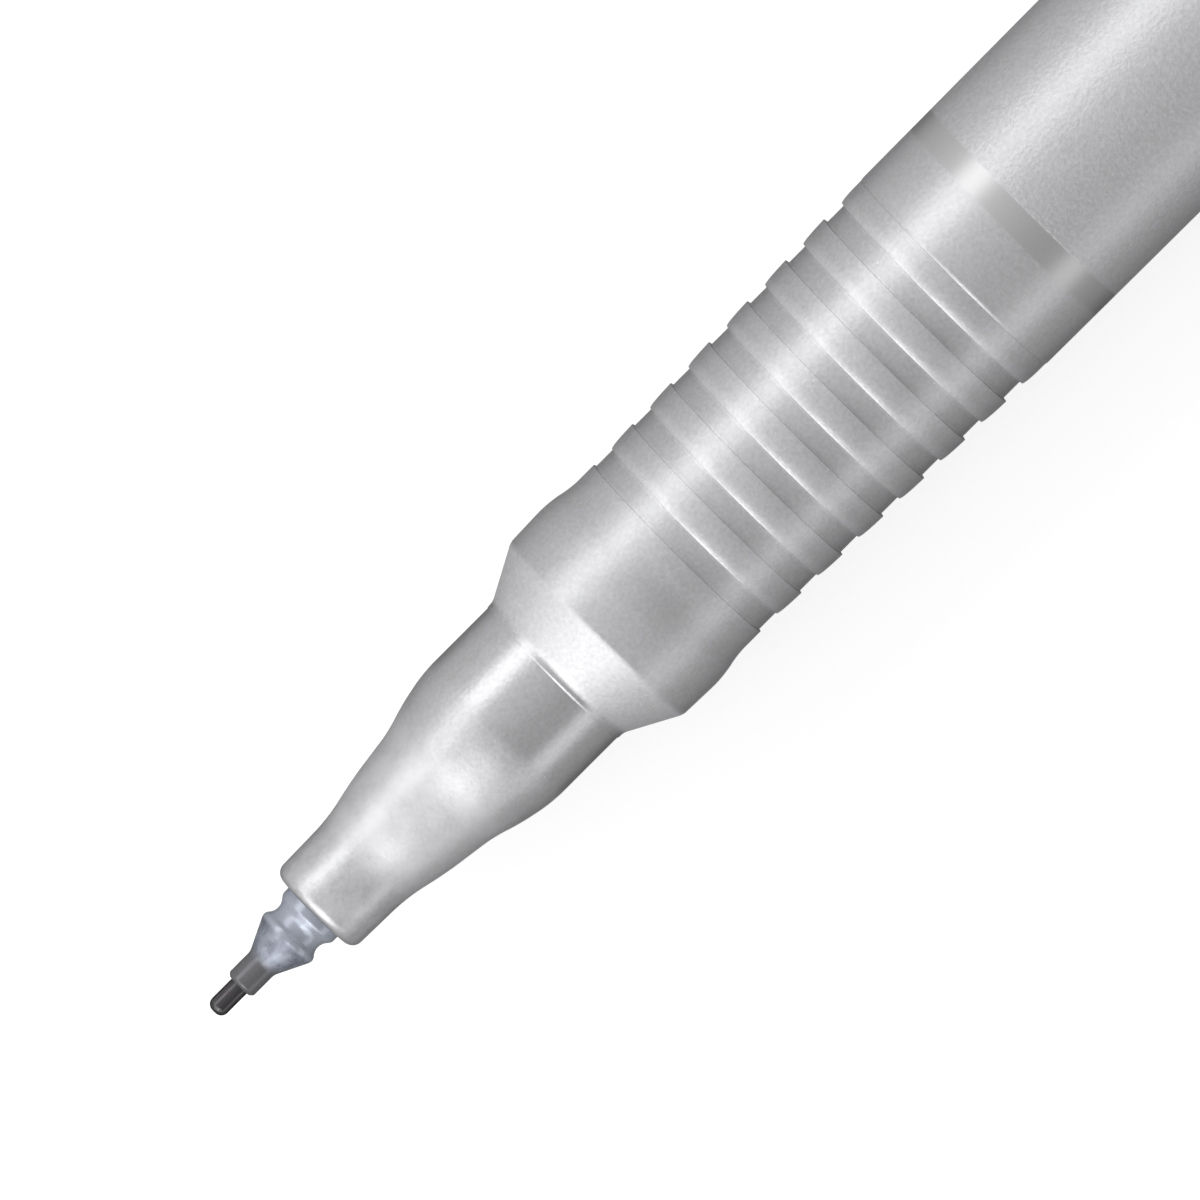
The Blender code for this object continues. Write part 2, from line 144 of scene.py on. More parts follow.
GRIP_RADIUS = 0.00519
SEAM_SHIFT = 0.00016
SEAM = BARREL_FRONT + SEAM_SHIFT
SEAM_GAP = 0.000005
SPIGOT_RADIUS = 0.0045
SPIGOT_ROUNDING = 0.0002
CHAMBER_RADIUS = 0.004
CHAMBER_FRONT = 0.0222
NOSE_CAVITY = 0.00256
NOSE_CAVITY_FRONT = 0.01535

# Barrel
BARREL_RADIUS = 0.00528
BARREL_FRONT_RADIUS = 0.00522
BARREL_LIP = 0.00012
BARREL_LIP_ROUNDING = 0.00005
SWELL_LENGTH = 0.011
SWELL_ROUNDING = 0.002
SOCKET_RADIUS = 0.00456
BAND_FRONT = 0.04468
BAND_REAR = 0.0458

# End plug
PLUG_WALL = 0.001
PLUG_RADIUS = 0.00392
PLUG_ROUNDING = 0.0004
FLANGE_GAP = 0.00004
FLANGE_FRONT = BARREL_REAR + FLANGE_GAP
CAP_GAP = 0.0001
FLANGE_REAR = CAP_MOUTH - CAP_GAP
FLANGE_RIM = 0.0007
FLANGE_ROUNDING = 0.0002
POST_RADIUS = 0.00366
POST_CHAMFER = 0.0005

# Cap, with places from its mouth
CAP_RADIUS = 0.00495
CAP_END_RADIUS = 0.00475
CAP_BORE = 0.00375
CAP_HOLLOW = 0.00305
CAP_END_WALL = 0.0014
CAP_ROUNDING = 0.0008
CAP_FLOOR_ROUNDING = 0.0003
CAP_MOUTH_ROUNDING = 0.0002
CAP_RING_PLACE = 0.0022
CAP_RING_WIDTH = 0.0006
CAP_RING_DEPTH = 0.00012
VENT_COUNT = 3
VENT_RADIUS = 0.00055
VENT_INSET = 0.0004
VENT_CHAMFER = 0.00015
CLIP_WIDTH = 0.004
CLIP_INNER = 0.00605
CLIP_OUTER = 0.00735
CLIP_ROOT_LENGTH = 0.0036
CLIP_TIP = 0.0042
CLIP_BEAD_HEIGHT = 0.0006
CLIP_BEAD_SLOPE = 0.0012
CLIP_BEAD_LENGTH = 0.001
CLIP_ROUNDING = 0.0008
CLIP_INNER_ROUNDING = 0.0004
CLIP_EDGE = 0.00045
CLIP_LEAN = radians(118.5)

# Fineness of the meshes
SIDES = 128
SMALL_SIDES = 64
ROUND_STEPS = 6
FINE_EDGE = 0.00005
SMOOTH_ANGLE = radians(28)
WELD = 1e-7

# Where one finish, or painted light or shade, passes into the next along the pen
SEAT_FADE = 0.0008
NOSE_FADE = 0.002
FLARE_FADE = 0.0015
BAND_FADE = 0.00012
SLEEVE_FADE = 0.0006
NECK_FADE = 0.0002
SHOULDER_FADE = 0.0003
CORNER_REACH = 0.0001
BROW_REACH = 0.00036
BROW_FADE = 0.00048

# Camera, set by where the nib's point and the pen's direction stand in the picture
IMAGE_SIZE = 1200
PIXELS_PER_METRE = 25000
NIB_PIXEL = Vector((213.8, 1011.5))
PEN_TURN = radians(45)
VIEW_LEAN = radians(2.7)
LENS = 1000
SENSOR = 36

# Light
LAMP_DISTANCE = 0.6
FLOOR_REACH = 4.0
FLOOR_FADE = 0.02


def finished(name, bm, material):
    """Closes and smooths a bmesh, with its place in its vertices, and links it as an object at the origin."""
    bmesh.ops.remove_doubles(bm, verts=bm.verts, dist=WELD)
    bmesh.ops.recalc_face_normals(bm, faces=bm.faces)
    mesh = bpy.data.meshes.new(name)
    bm.to_mesh(mesh)
    bm.free()
    mesh.materials.append(material)
    mesh.shade_smooth()
    mesh.set_sharp_from_angle(angle=SMOOTH_ANGLE)
    piece = bpy.data.objects.new(name, mesh)
    bpy.context.scene.collection.objects.link(piece)
    return piece


def round_corners(bm, corners, outline):
    """Rounds each of an outline's vertices as far as its corner's rounding reaches."""
    for corner, (place, radius, rounding) in zip(corners, outline):
        if rounding > 0:
            bmesh.ops.bevel(
                bm,
                geom=[corner],
                offset=rounding,
                offset_type="OFFSET",
                segments=ROUND_STEPS,
                profile=0.5,
                affect="VERTICES",
                material=-1,
            )


def turned(outline, start, sides=SIDES):
    """A bmesh of the outline, with its corners rounded, spun about the pen's axis from a start along X."""
    bm = bmesh.new()
    corners = [bm.verts.new((place, 0, radius)) for place, radius, rounding in outline]
    for first, second in zip(corners, corners[1:]):
        bm.edges.new((first, second))
    if outline[0][1] > 0:
        bm.edges.new((corners[-1], corners[0]))
    round_corners(bm, corners, outline)
    bmesh.ops.spin(
        bm,
        geom=bm.verts[:] + bm.edges[:],
        cent=(0, 0, 0),
        axis=(1, 0, 0),
        angle=2 * pi,
        steps=sides,
        use_merge=True,
    )
    bmesh.ops.translate(bm, verts=bm.verts, vec=AXIS + Vector((start, 0, 0)))
    return bm


def cut(piece, tool, operation):
    """Joins a tool to a piece or cuts it out, and drops the tool."""
    boolean = piece.modifiers.new(tool.name, "BOOLEAN")
    boolean.operation = operation
    boolean.solver = "EXACT"
    boolean.object = tool
    made = piece.evaluated_get(bpy.context.evaluated_depsgraph_get())
    mesh = bpy.data.meshes.new_from_object(made)
    mesh.set_sharp_from_angle(angle=SMOOTH_ANGLE)
    piece.modifiers.remove(boolean)
    piece.data = mesh
    bpy.data.objects.remove(tool)


def place_on(piece, body, solid):
    """A piece shades evenly, moves with a body and stands for a CAD node, which is hidden."""
    normals = piece.modifiers.new("even_normals", "WEIGHTED_NORMAL")
    normals.keep_sharp = True
    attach(piece, body)
    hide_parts(solid)


def make_nib(material):
    outline = [
        (0, 0, 0),
        (0, NIB_RADIUS, NIB_ROUNDING),
        (NIB_REAR, NIB_RADIUS, 0),
        (NIB_REAR, 0, 0),
    ]
    return finished("writing_nib", turned(outline, NIB_POINT, SMALL_SIDES), material)


def make_nib_holder(material):
    """A sleeve, a cone with a rim, a neck and a shank, with the tail inside the nose."""
    outline = [
        (SLEEVE_FRONT, NIB_BORE, 0),
        (SLEEVE_FRONT, SLEEVE_RADIUS - SLEEVE_CHAMFER, FINE_EDGE),
        (SLEEVE_FRONT + SLEEVE_CHAMFER, SLEEVE_RADIUS, FINE_EDGE),
        (SLEEVE_REAR, SLEEVE_RADIUS, SLEEVE_ROUNDING),
        (CONE_REAR, CONE_RADIUS, CONE_ROUNDING),
        (RIM_REAR, CONE_RADIUS, RIM_ROUNDING),
        (NECK_FRONT, NECK_RADIUS, NECK_ROUNDING),
        (NECK_REAR, NECK_RADIUS, NECK_ROUNDING),
        (SHANK_FRONT, SHANK_RADIUS, SHANK_ROUNDING),
        (SHANK_REAR, SHANK_RADIUS, 0),
        (SHANK_REAR, TAIL_RADIUS, 0),
        (TAIL_REAR, TAIL_RADIUS, 0),
        (TAIL_REAR, NIB_BORE, 0),
    ]
    return finished("clear_nib_holder", turned(outline, NIB_POINT, SMALL_SIDES), material)


def rib_line(place):
    """Radius of the slim cone that the ribs' crests lie on."""
    part = (place - GROOVES_FRONT) / (GROOVES_REAR - GROOVES_FRONT)
    return LAND_RADIUS + (GRIP_RADIUS - LAND_RADIUS) * part


def ribbed_outline():
    """The grooves from front to rear, each with a rib behind it whose front edge bends in a soft brow."""
    corners = []
    for index in range(GROOVE_COUNT):
        front = GROOVES_FRONT + index * RIB_PITCH
        rear = front + GROOVE_WIDTH
        depth = FIRST_GROOVE_DEPTH + (LAST_GROOVE_DEPTH - FIRST_GROOVE_DEPTH) * index / (GROOVE_COUNT - 1)
        floor = rib_line((front + rear) / 2) - depth
        front_crest = rib_line(front) - (RIB_LEVEL / 2 if index > 0 else 0)
        rear_crest = rib_line(rear) + (RIB_LEVEL / 2 if index < GROOVE_COUNT - 1 else 0)
        corners.append((front, front_crest, GROOVE_EDGE))
        corners.append((front - GROOVE_UNDERCUT, floor, GROOVE_EDGE))
        corners.append((rear, floor, GROOVE_EDGE))
        corners.append((rear, rear_crest - RIB_BROW_DROP, GROOVE_EDGE))
        corners.append((rear + RIB_BROW, rear_crest - RIB_CROWN_DROP, RIB_BROW_ROUNDING))
        corners.append((rear + RIB_CROWN, rear_crest, RIB_CROWN_ROUNDING))
    return corners


def make_grip_section(material):
    """The nose, cap seat, shoulder, finger stop and ribs outside, and the bores and chamber inside."""
    outline = [
        (NOSE_FRONT, SHANK_BORE, FINE_EDGE),
        (NOSE_FRONT, NOSE_RADIUS, NOSE_ROUNDING),
        (FLARE_FRONT, FLARE_RADIUS, FLARE_ROUNDING),
        (FLARE_REAR, FLARE_REAR_RADIUS, FLARE_ROUNDING),
        (WAIST_FRONT, WAIST_RADIUS, WAIST_ROUNDING),
        (SEAT_FLARE, SEAT_FLARE_RADIUS, WAIST_ROUNDING),
        (SEAT_FRONT, SEAT_RADIUS, SEAT_ROUNDING),
        (RING_FRONT, SEAT_RADIUS, 0),
        (RING_FRONT + RING_SLOPE, SEAT_RADIUS + RING_RISE, RING_EDGE),
        (SHOULDER_FRONT, SEAT_RADIUS + RING_RISE, SHOULDER_ROUNDING),
        (STOP_FRONT, STOP_FRONT_RADIUS, SHOULDER_ROUNDING),
        (STOP_REAR, STOP_RADIUS, STOP_ROUNDING),
        (LAND_FRONT, LAND_RADIUS, LAND_ROUNDING),
    ]
    outline += ribbed_outline()
    outline += [
        (SEAM - SEAM_GAP, GRIP_RADIUS, 0),
        (SEAM - SEAM_GAP, SPIGOT_RADIUS, 0),
        (SPIGOT_REAR, SPIGOT_RADIUS, SPIGOT_ROUNDING),
        (SPIGOT_REAR, CHAMBER_RADIUS, 0),
        (CHAMBER_FRONT, CHAMBER_RADIUS, 0),
        (CHAMBER_FRONT, NOSE_CAVITY, 0),
        (NOSE_CAVITY_FRONT, NOSE_CAVITY, 0),
        (NOSE_CAVITY_FRONT, TAIL_BORE, 0),
        (SHANK_REAR, TAIL_BORE, 0),
        (SHANK_REAR, SHANK_BORE, 0),
    ]
    return finished("ribbed_grip", turned(outline, NIB_POINT), material)


def make_barrel(material):
    """A tube that swells a little behind its front lip, with a socket for the grip's spigot."""
    outline = [
        (SEAM, SOCKET_RADIUS, 0),
        (SEAM, GRIP_RADIUS - SEAM_GAP, 0),
        (SEAM + BARREL_LIP, BARREL_FRONT_RADIUS, BARREL_LIP_ROUNDING),
        (SEAM + SWELL_LENGTH, BARREL_RADIUS, SWELL_ROUNDING),
        (BARREL_REAR, BARREL_RADIUS, FINE_EDGE),
        (BARREL_REAR, CHAMBER_RADIUS, 0),
        (SPIGOT_REAR + FINE_EDGE, CHAMBER_RADIUS, 0),
        (SPIGOT_REAR + FINE_EDGE, SOCKET_RADIUS, 0),
    ]
    return finished("coated_barrel", turned(outline, NIB_POINT), material)


def make_end_plug(material):
    """A hollow plug with a flange on the barrel's end, and a post behind it that the cap is pushed on."""
    hollow = POST_RADIUS - PLUG_WALL
    floor = POST_REAR - PLUG_WALL
    outline = [
        (floor, 0, 0),
        (floor, hollow, 0),
        (PLUG_FRONT, hollow, 0),
        (PLUG_FRONT, PLUG_RADIUS, PLUG_ROUNDING),
        (FLANGE_FRONT, PLUG_RADIUS, 0),
        (FLANGE_FRONT, BARREL_RADIUS, FINE_EDGE),
        (FLANGE_FRONT + FLANGE_RIM, BARREL_RADIUS, FLANGE_ROUNDING),
        (FLANGE_REAR, CAP_RADIUS, FINE_EDGE),
        (FLANGE_REAR, POST_RADIUS, FINE_EDGE),
        (POST_REAR - POST_CHAMFER, POST_RADIUS, FINE_EDGE),
        (POST_REAR, POST_RADIUS - POST_CHAMFER, FINE_EDGE),
        (POST_REAR, 0, 0),
    ]
    return finished("post_plug", turned(outline, NIB_POINT), material)


def make_clip(turn, material):
    """The clip's side outline, with heights for radii, extruded across its width, with its edges rounded."""
    rear = CAP_LENGTH - CAP_ROUNDING
    root_foot = (CAP_HOLLOW + CAP_END_RADIUS) / 2
    bead = CLIP_TIP + CLIP_BEAD_SLOPE
    bead_rear = bead + CLIP_BEAD_LENGTH
    bead_foot = CLIP_INNER - CLIP_BEAD_HEIGHT
    outline = [
        (rear, root_foot, 0),
        (rear, CLIP_OUTER, CLIP_ROUNDING),
        (CLIP_TIP, CLIP_OUTER, CLIP_ROUNDING),
        (CLIP_TIP, CLIP_INNER, CLIP_INNER_ROUNDING),
        (bead, bead_foot, CLIP_INNER_ROUNDING),
        (bead_rear, bead_foot, CLIP_INNER_ROUNDING),
        (bead_rear + CLIP_BEAD_SLOPE, CLIP_INNER, CLIP_INNER_ROUNDING),
        (rear - CLIP_ROOT_LENGTH, CLIP_INNER, CLIP_ROUNDING),
        (rear - CLIP_ROOT_LENGTH, root_foot, 0),
    ]
    bm = bmesh.new()
    corners = [bm.verts.new((place, -CLIP_WIDTH / 2, height)) for place, height, rounding in outline]
    bm.faces.new(corners)
    round_corners(bm, corners, outline)
    rims = set(bm.edges)
    grown = bmesh.ops.extrude_face_region(bm, geom=bm.faces[:])["geom"]
    moved = [item for item in grown if isinstance(item, bmesh.types.BMVert)]
    rims.update(item for item in grown if isinstance(item, bmesh.types.BMEdge))
    bmesh.ops.translate(bm, verts=moved, vec=(0, CLIP_WIDTH, 0))
    bmesh.ops.bevel(
        bm,
        geom=list(rims),
        offset=CLIP_EDGE,
        offset_type="OFFSET",
        segments=ROUND_STEPS,
        profile=0.5,
        affect="EDGES",
        material=-1,
    )
    bmesh.ops.transform(bm, matrix=turn, verts=bm.verts)
    return finished("clip_tool", bm, material)


def make_vent(turn, index, material):
    """A chamfered hole through the cap's end, one of a ring of them."""
    ring = CAP_HOLLOW - VENT_INSET - VENT_RADIUS
    outline = [
        (-2 * CAP_END_WALL, 0, 0),
        (-2 * CAP_END_WALL, VENT_RADIUS, 0),
        (-VENT_CHAMFER, VENT_RADIUS, 0),
        (VENT_CHAMFER, VENT_RADIUS + 2 * VENT_CHAMFER, 0),
        (VENT_CHAMFER, 0, 0),
    ]
    bm = turned(outline, 0, SMALL_SIDES)
    bmesh.ops.translate(bm, verts=bm.verts, vec=-AXIS)
    about = Matrix.Rotation(2 * pi * index / VENT_COUNT, 4, "X")
    out = Matrix.Translation((CAP_LENGTH, 0, ring))
    bmesh.ops.transform(bm, matrix=turn @ about @ out, verts=bm.verts)
    return finished("vent_tool", bm, material)


def make_cap(material):
    """A hollow cap with a fine ring near its mouth, its clip joined on and its vents cut out."""
    floor = CAP_LENGTH - CAP_END_WALL
    liner_seat = LINER_REAR + FINE_EDGE
    ring_radius = CAP_RADIUS - CAP_RING_DEPTH
    ring_rear = CAP_RING_PLACE + CAP_RING_WIDTH
    outline = [
        (floor, 0, 0),
        (floor, CAP_HOLLOW, CAP_FLOOR_ROUNDING),
        (liner_seat, CAP_HOLLOW, 0),
        (liner_seat, CAP_BORE, 0),
        (0, CAP_BORE, CAP_FLOOR_ROUNDING),
        (0, CAP_RADIUS, CAP_MOUTH_ROUNDING),
        (CAP_RING_PLACE, CAP_RADIUS, FINE_EDGE),
        (CAP_RING_PLACE + CAP_RING_DEPTH, ring_radius, FINE_EDGE),
        (ring_rear - CAP_RING_DEPTH, ring_radius, FINE_EDGE),
        (ring_rear, CAP_RADIUS, FINE_EDGE),
        (CAP_LENGTH, CAP_END_RADIUS, CAP_ROUNDING),
        (CAP_LENGTH, 0, 0),
    ]
    start = NIB_POINT + CAP_MOUTH
    cap = finished("clip_cap", turned(outline, start), material)
    turn = Matrix.Translation(AXIS + Vector((start, 0, 0))) @ Matrix.Rotation(CLIP_LEAN, 4, "X")
    cut(cap, make_clip(turn, material), "UNION")
    for index in range(VENT_COUNT):
        cut(cap, make_vent(turn, index, material), "DIFFERENCE")
    return cap


def node(tree, kind, **settings):
    """A new node with its settings, such as the operation of a Math node."""
    made = tree.nodes.new(kind)
    for name, value in settings.items():
        setattr(made, name, value)
    return made


def set_inputs(made, **values):
    """Sets a node's inputs by name, with underscores for spaces."""
    for name, value in values.items():
        made.inputs[name.replace("_", " ")].default_value = value


def new_material(name):
    material = bpy.data.materials.new(name)
    material.use_nodes = True
    tree = material.node_tree
    return material, tree, tree.nodes["Principled BSDF"]


def new_group(name, inputs, outputs):
    """A shader node group with float outputs, and with inputs that are vectors where no value is given."""
    group = bpy.data.node_groups.new(name, "ShaderNodeTree")
    for socket, value in inputs.items():
        kind = "NodeSocketVector" if value is None else "NodeSocketFloat"
        made = group.interface.new_socket(name=socket, in_out="INPUT", socket_type=kind)
        if value is not None:
            made.default_value = value
    for socket in outputs:
        group.interface.new_socket(name=socket, in_out="OUTPUT", socket_type="NodeSocketFloat")
    return group, group.nodes.new("NodeGroupInput"), group.nodes.new("NodeGroupOutput")


def link_scale(group, inside, size, texture):
    """A texture's scale is one over a size that the group is given."""
    scale = node(group, "ShaderNodeMath", operation="DIVIDE")
    scale.inputs[0].default_value = 1.0
    group.links.new(inside.outputs[size], scale.inputs[1])
    group.links.new(scale.outputs["Value"], texture.inputs["Scale"])


def make_stretch_group():
    """A mask along the pen that rises between two places and falls between two others."""
    places = {"Along": 0.0, "Rise Start": 0.0, "Rise End": 1.0, "Fall Start": 2.0, "Fall End": 3.0}
    group, inside, outside = new_group("stretch_of_pen", places, ["Mask"])
    rise = node(group, "ShaderNodeMapRange", interpolation_type="SMOOTHSTEP")
    fall = node(group, "ShaderNodeMapRange", interpolation_type="SMOOTHSTEP")
    both = node(group, "ShaderNodeMath", operation="MULTIPLY")
    for step, first, last in ((rise, "Rise Start", "Rise End"), (fall, "Fall Start", "Fall End")):
        group.links.new(inside.outputs["Along"], step.inputs["Value"])
        group.links.new(inside.outputs[first], step.inputs["From Min"])
        group.links.new(inside.outputs[last], step.inputs["From Max"])
    set_inputs(fall, To_Min=1.0, To_Max=0.0)
    group.links.new(rise.outputs["Result"], both.inputs[0])
    group.links.new(fall.outputs["Result"], both.inputs[1])
    group.links.new(both.outputs["Value"], outside.inputs["Mask"])
    return group


def make_pearl_group():
    """Mica in the plastic: sparse bright flakes, soft clouds where it flowed, and a fine skin."""
    sizes = {"Place": None, "Flake Spacing": 0.0002, "Cloud Size": 0.0012, "Skin Size": 0.0001}
    group, inside, outside = new_group("pearl_mica", sizes, ["Flakes", "Clouds", "Skin"])
    cells = node(group, "ShaderNodeTexVoronoi")
    clouds = node(group, "ShaderNodeTexNoise")
    skin = node(group, "ShaderNodeTexNoise")
    for texture, size in ((cells, "Flake Spacing"), (clouds, "Cloud Size"), (skin, "Skin Size")):
        group.links.new(inside.outputs["Place"], texture.inputs["Vector"])
        link_scale(group, inside, size, texture)
    set_inputs(clouds, Detail=3.0, Roughness=0.6)
    set_inputs(skin, Detail=2.0, Roughness=0.6)
    dot = node(group, "ShaderNodeMapRange", interpolation_type="SMOOTHSTEP")
    set_inputs(dot, From_Min=0.04, From_Max=0.22, To_Min=1.0, To_Max=0.0)
    few = node(group, "ShaderNodeMapRange", interpolation_type="SMOOTHSTEP")
    set_inputs(few, From_Min=0.8, From_Max=1.0)
    drift = node(group, "ShaderNodeMapRange", interpolation_type="SMOOTHSTEP")
    set_inputs(drift, From_Min=0.32, From_Max=0.68)
    split = node(group, "ShaderNodeSeparateColor")
    flakes = node(group, "ShaderNodeMath", operation="MULTIPLY")
    group.links.new(cells.outputs["Distance"], dot.inputs["Value"])
    group.links.new(cells.outputs["Color"], split.inputs["Color"])
    group.links.new(split.outputs["Red"], few.inputs["Value"])
    group.links.new(dot.outputs["Result"], flakes.inputs[0])
    group.links.new(few.outputs["Result"], flakes.inputs[1])
    group.links.new(flakes.outputs["Value"], outside.inputs["Flakes"])
    group.links.new(clouds.outputs["Fac"], drift.inputs["Value"])
    group.links.new(drift.outputs["Result"], outside.inputs["Clouds"])
    group.links.new(skin.outputs["Fac"], outside.inputs["Skin"])
    return group


def make_moulded_group():
    """Moulded plastic: a faint uneven skin, and fine scuffs from handling that run along the pen."""
    sizes = {"Place": None, "Grain Size": 0.00012, "Scuff Width": 0.00008}
    group, inside, outside = new_group("moulded_skin", sizes, ["Grain", "Scuffs"])
    grain = node(group, "ShaderNodeTexNoise")
    set_inputs(grain, Detail=3.0, Roughness=0.55)
    stretch = node(group, "ShaderNodeMapping")
    set_inputs(stretch, Scale=(0.04, 1.0, 1.0))
    streaks = node(group, "ShaderNodeTexNoise")
    set_inputs(streaks, Detail=2.0, Roughness=0.5)
    sparse = node(group, "ShaderNodeMapRange", interpolation_type="SMOOTHSTEP")
    set_inputs(sparse, From_Min=0.6, From_Max=0.72)
    link_scale(group, inside, "Grain Size", grain)
    link_scale(group, inside, "Scuff Width", streaks)
    group.links.new(inside.outputs["Place"], grain.inputs["Vector"])
    group.links.new(inside.outputs["Place"], stretch.inputs["Vector"])
    group.links.new(stretch.outputs["Vector"], streaks.inputs["Vector"])
    group.links.new(streaks.outputs["Fac"], sparse.inputs["Value"])
    group.links.new(grain.outputs["Fac"], outside.inputs["Grain"])
    group.links.new(sparse.outputs["Result"], outside.inputs["Scuffs"])
    return group


STRETCH = make_stretch_group()
PEARL = make_pearl_group()
MOULDED = make_moulded_group()


def use_group(tree, group, source, **values):
    """A group in a material, with a source for its first input and values for others."""
    made = node(tree, "ShaderNodeGroup", node_tree=group)
    set_inputs(made, **values)
    tree.links.new(source, made.inputs[0])
    return made


def object_place(tree):
    return node(tree, "ShaderNodeTexCoord").outputs["Object"]


def along_pen(tree, place):
    """The distance along the pen from the nib's point."""
    split = node(tree, "ShaderNodeSeparateXYZ")
    along = node(tree, "ShaderNodeMath", operation="SUBTRACT")
    along.inputs[1].default_value = NIB_POINT
    tree.links.new(place, split.inputs["Vector"])
    tree.links.new(split.outputs["X"], along.inputs[0])
    return along.outputs["Value"]


def stretch_mask(tree, along, start, end, rise, fall=None):
    """One between two places along the pen and nought elsewhere, with soft ends that may differ."""
    fall = fall or rise
    mask = use_group(
        tree,
        STRETCH,
        along,
        Rise_Start=start - rise / 2,
        Rise_End=start + rise / 2,
        Fall_Start=end - fall / 2,
        Fall_End=end + fall / 2,
    )
    return mask.outputs["Mask"]


def colour_mix(tree, factor, first, second, blend="MIX"):
    """Two colours, each a socket or a fixed colour, mixed by a factor."""
    mix = node(tree, "ShaderNodeMix", data_type="RGBA", blend_type=blend)
    tree.links.new(factor, mix.inputs[0])
    for socket, colour in ((mix.inputs[6], first), (mix.inputs[7], second)):
        if isinstance(colour, tuple):
            socket.default_value = (*colour, 1.0)
        else:
            tree.links.new(colour, socket)
    return mix.outputs[2]


def shaded(tree, mask, colour, share):
    """A colour made paler or darker, by a share of itself, where a mask is one."""
    return colour_mix(tree, mask, colour, (share, share, share), "MULTIPLY")


def value_mix(tree, factor, first, second):
    """Two values, each a socket or a fixed number, mixed by a factor."""
    mix = node(tree, "ShaderNodeMix", data_type="FLOAT")
    tree.links.new(factor, mix.inputs[0])
    for socket, value in ((mix.inputs[2], first), (mix.inputs[3], second)):
        if isinstance(value, float):
            socket.default_value = value
        else:
            tree.links.new(value, socket)
    return mix.outputs[0]


def link_finish(tree, shader, colour, roughness, height, depth):
    """A shader takes a colour, a roughness, and a bump of a height pattern with a depth."""
    bump = node(tree, "ShaderNodeBump")
    set_inputs(bump, Strength=1.0, Distance=depth)
    tree.links.new(height, bump.inputs["Height"])
    tree.links.new(colour, shader.inputs["Base Color"])
    tree.links.new(roughness, shader.inputs["Roughness"])
    tree.links.new(bump.outputs["Normal"], shader.inputs["Normal"])


def within_pitch(tree, along):
    """The distance along the pen within one pitch of the ribs, from the middle of a rib."""
    from_first = node(tree, "ShaderNodeMath", operation="SUBTRACT")
    from_first.inputs[1].default_value = GROOVES_FRONT - RIB_WIDTH / 2
    within = node(tree, "ShaderNodeMath", operation="FLOORED_MODULO")
    within.inputs[1].default_value = RIB_PITCH
    tree.links.new(along, from_first.inputs[0])
    tree.links.new(from_first.outputs["Value"], within.inputs[0])
    return within.outputs["Value"]


def product(tree, first, second):
    """Two masks or values multiplied."""
    both = node(tree, "ShaderNodeMath", operation="MULTIPLY")
    tree.links.new(first, both.inputs[0])
    tree.links.new(second, both.inputs[1])
    return both.outputs["Value"]


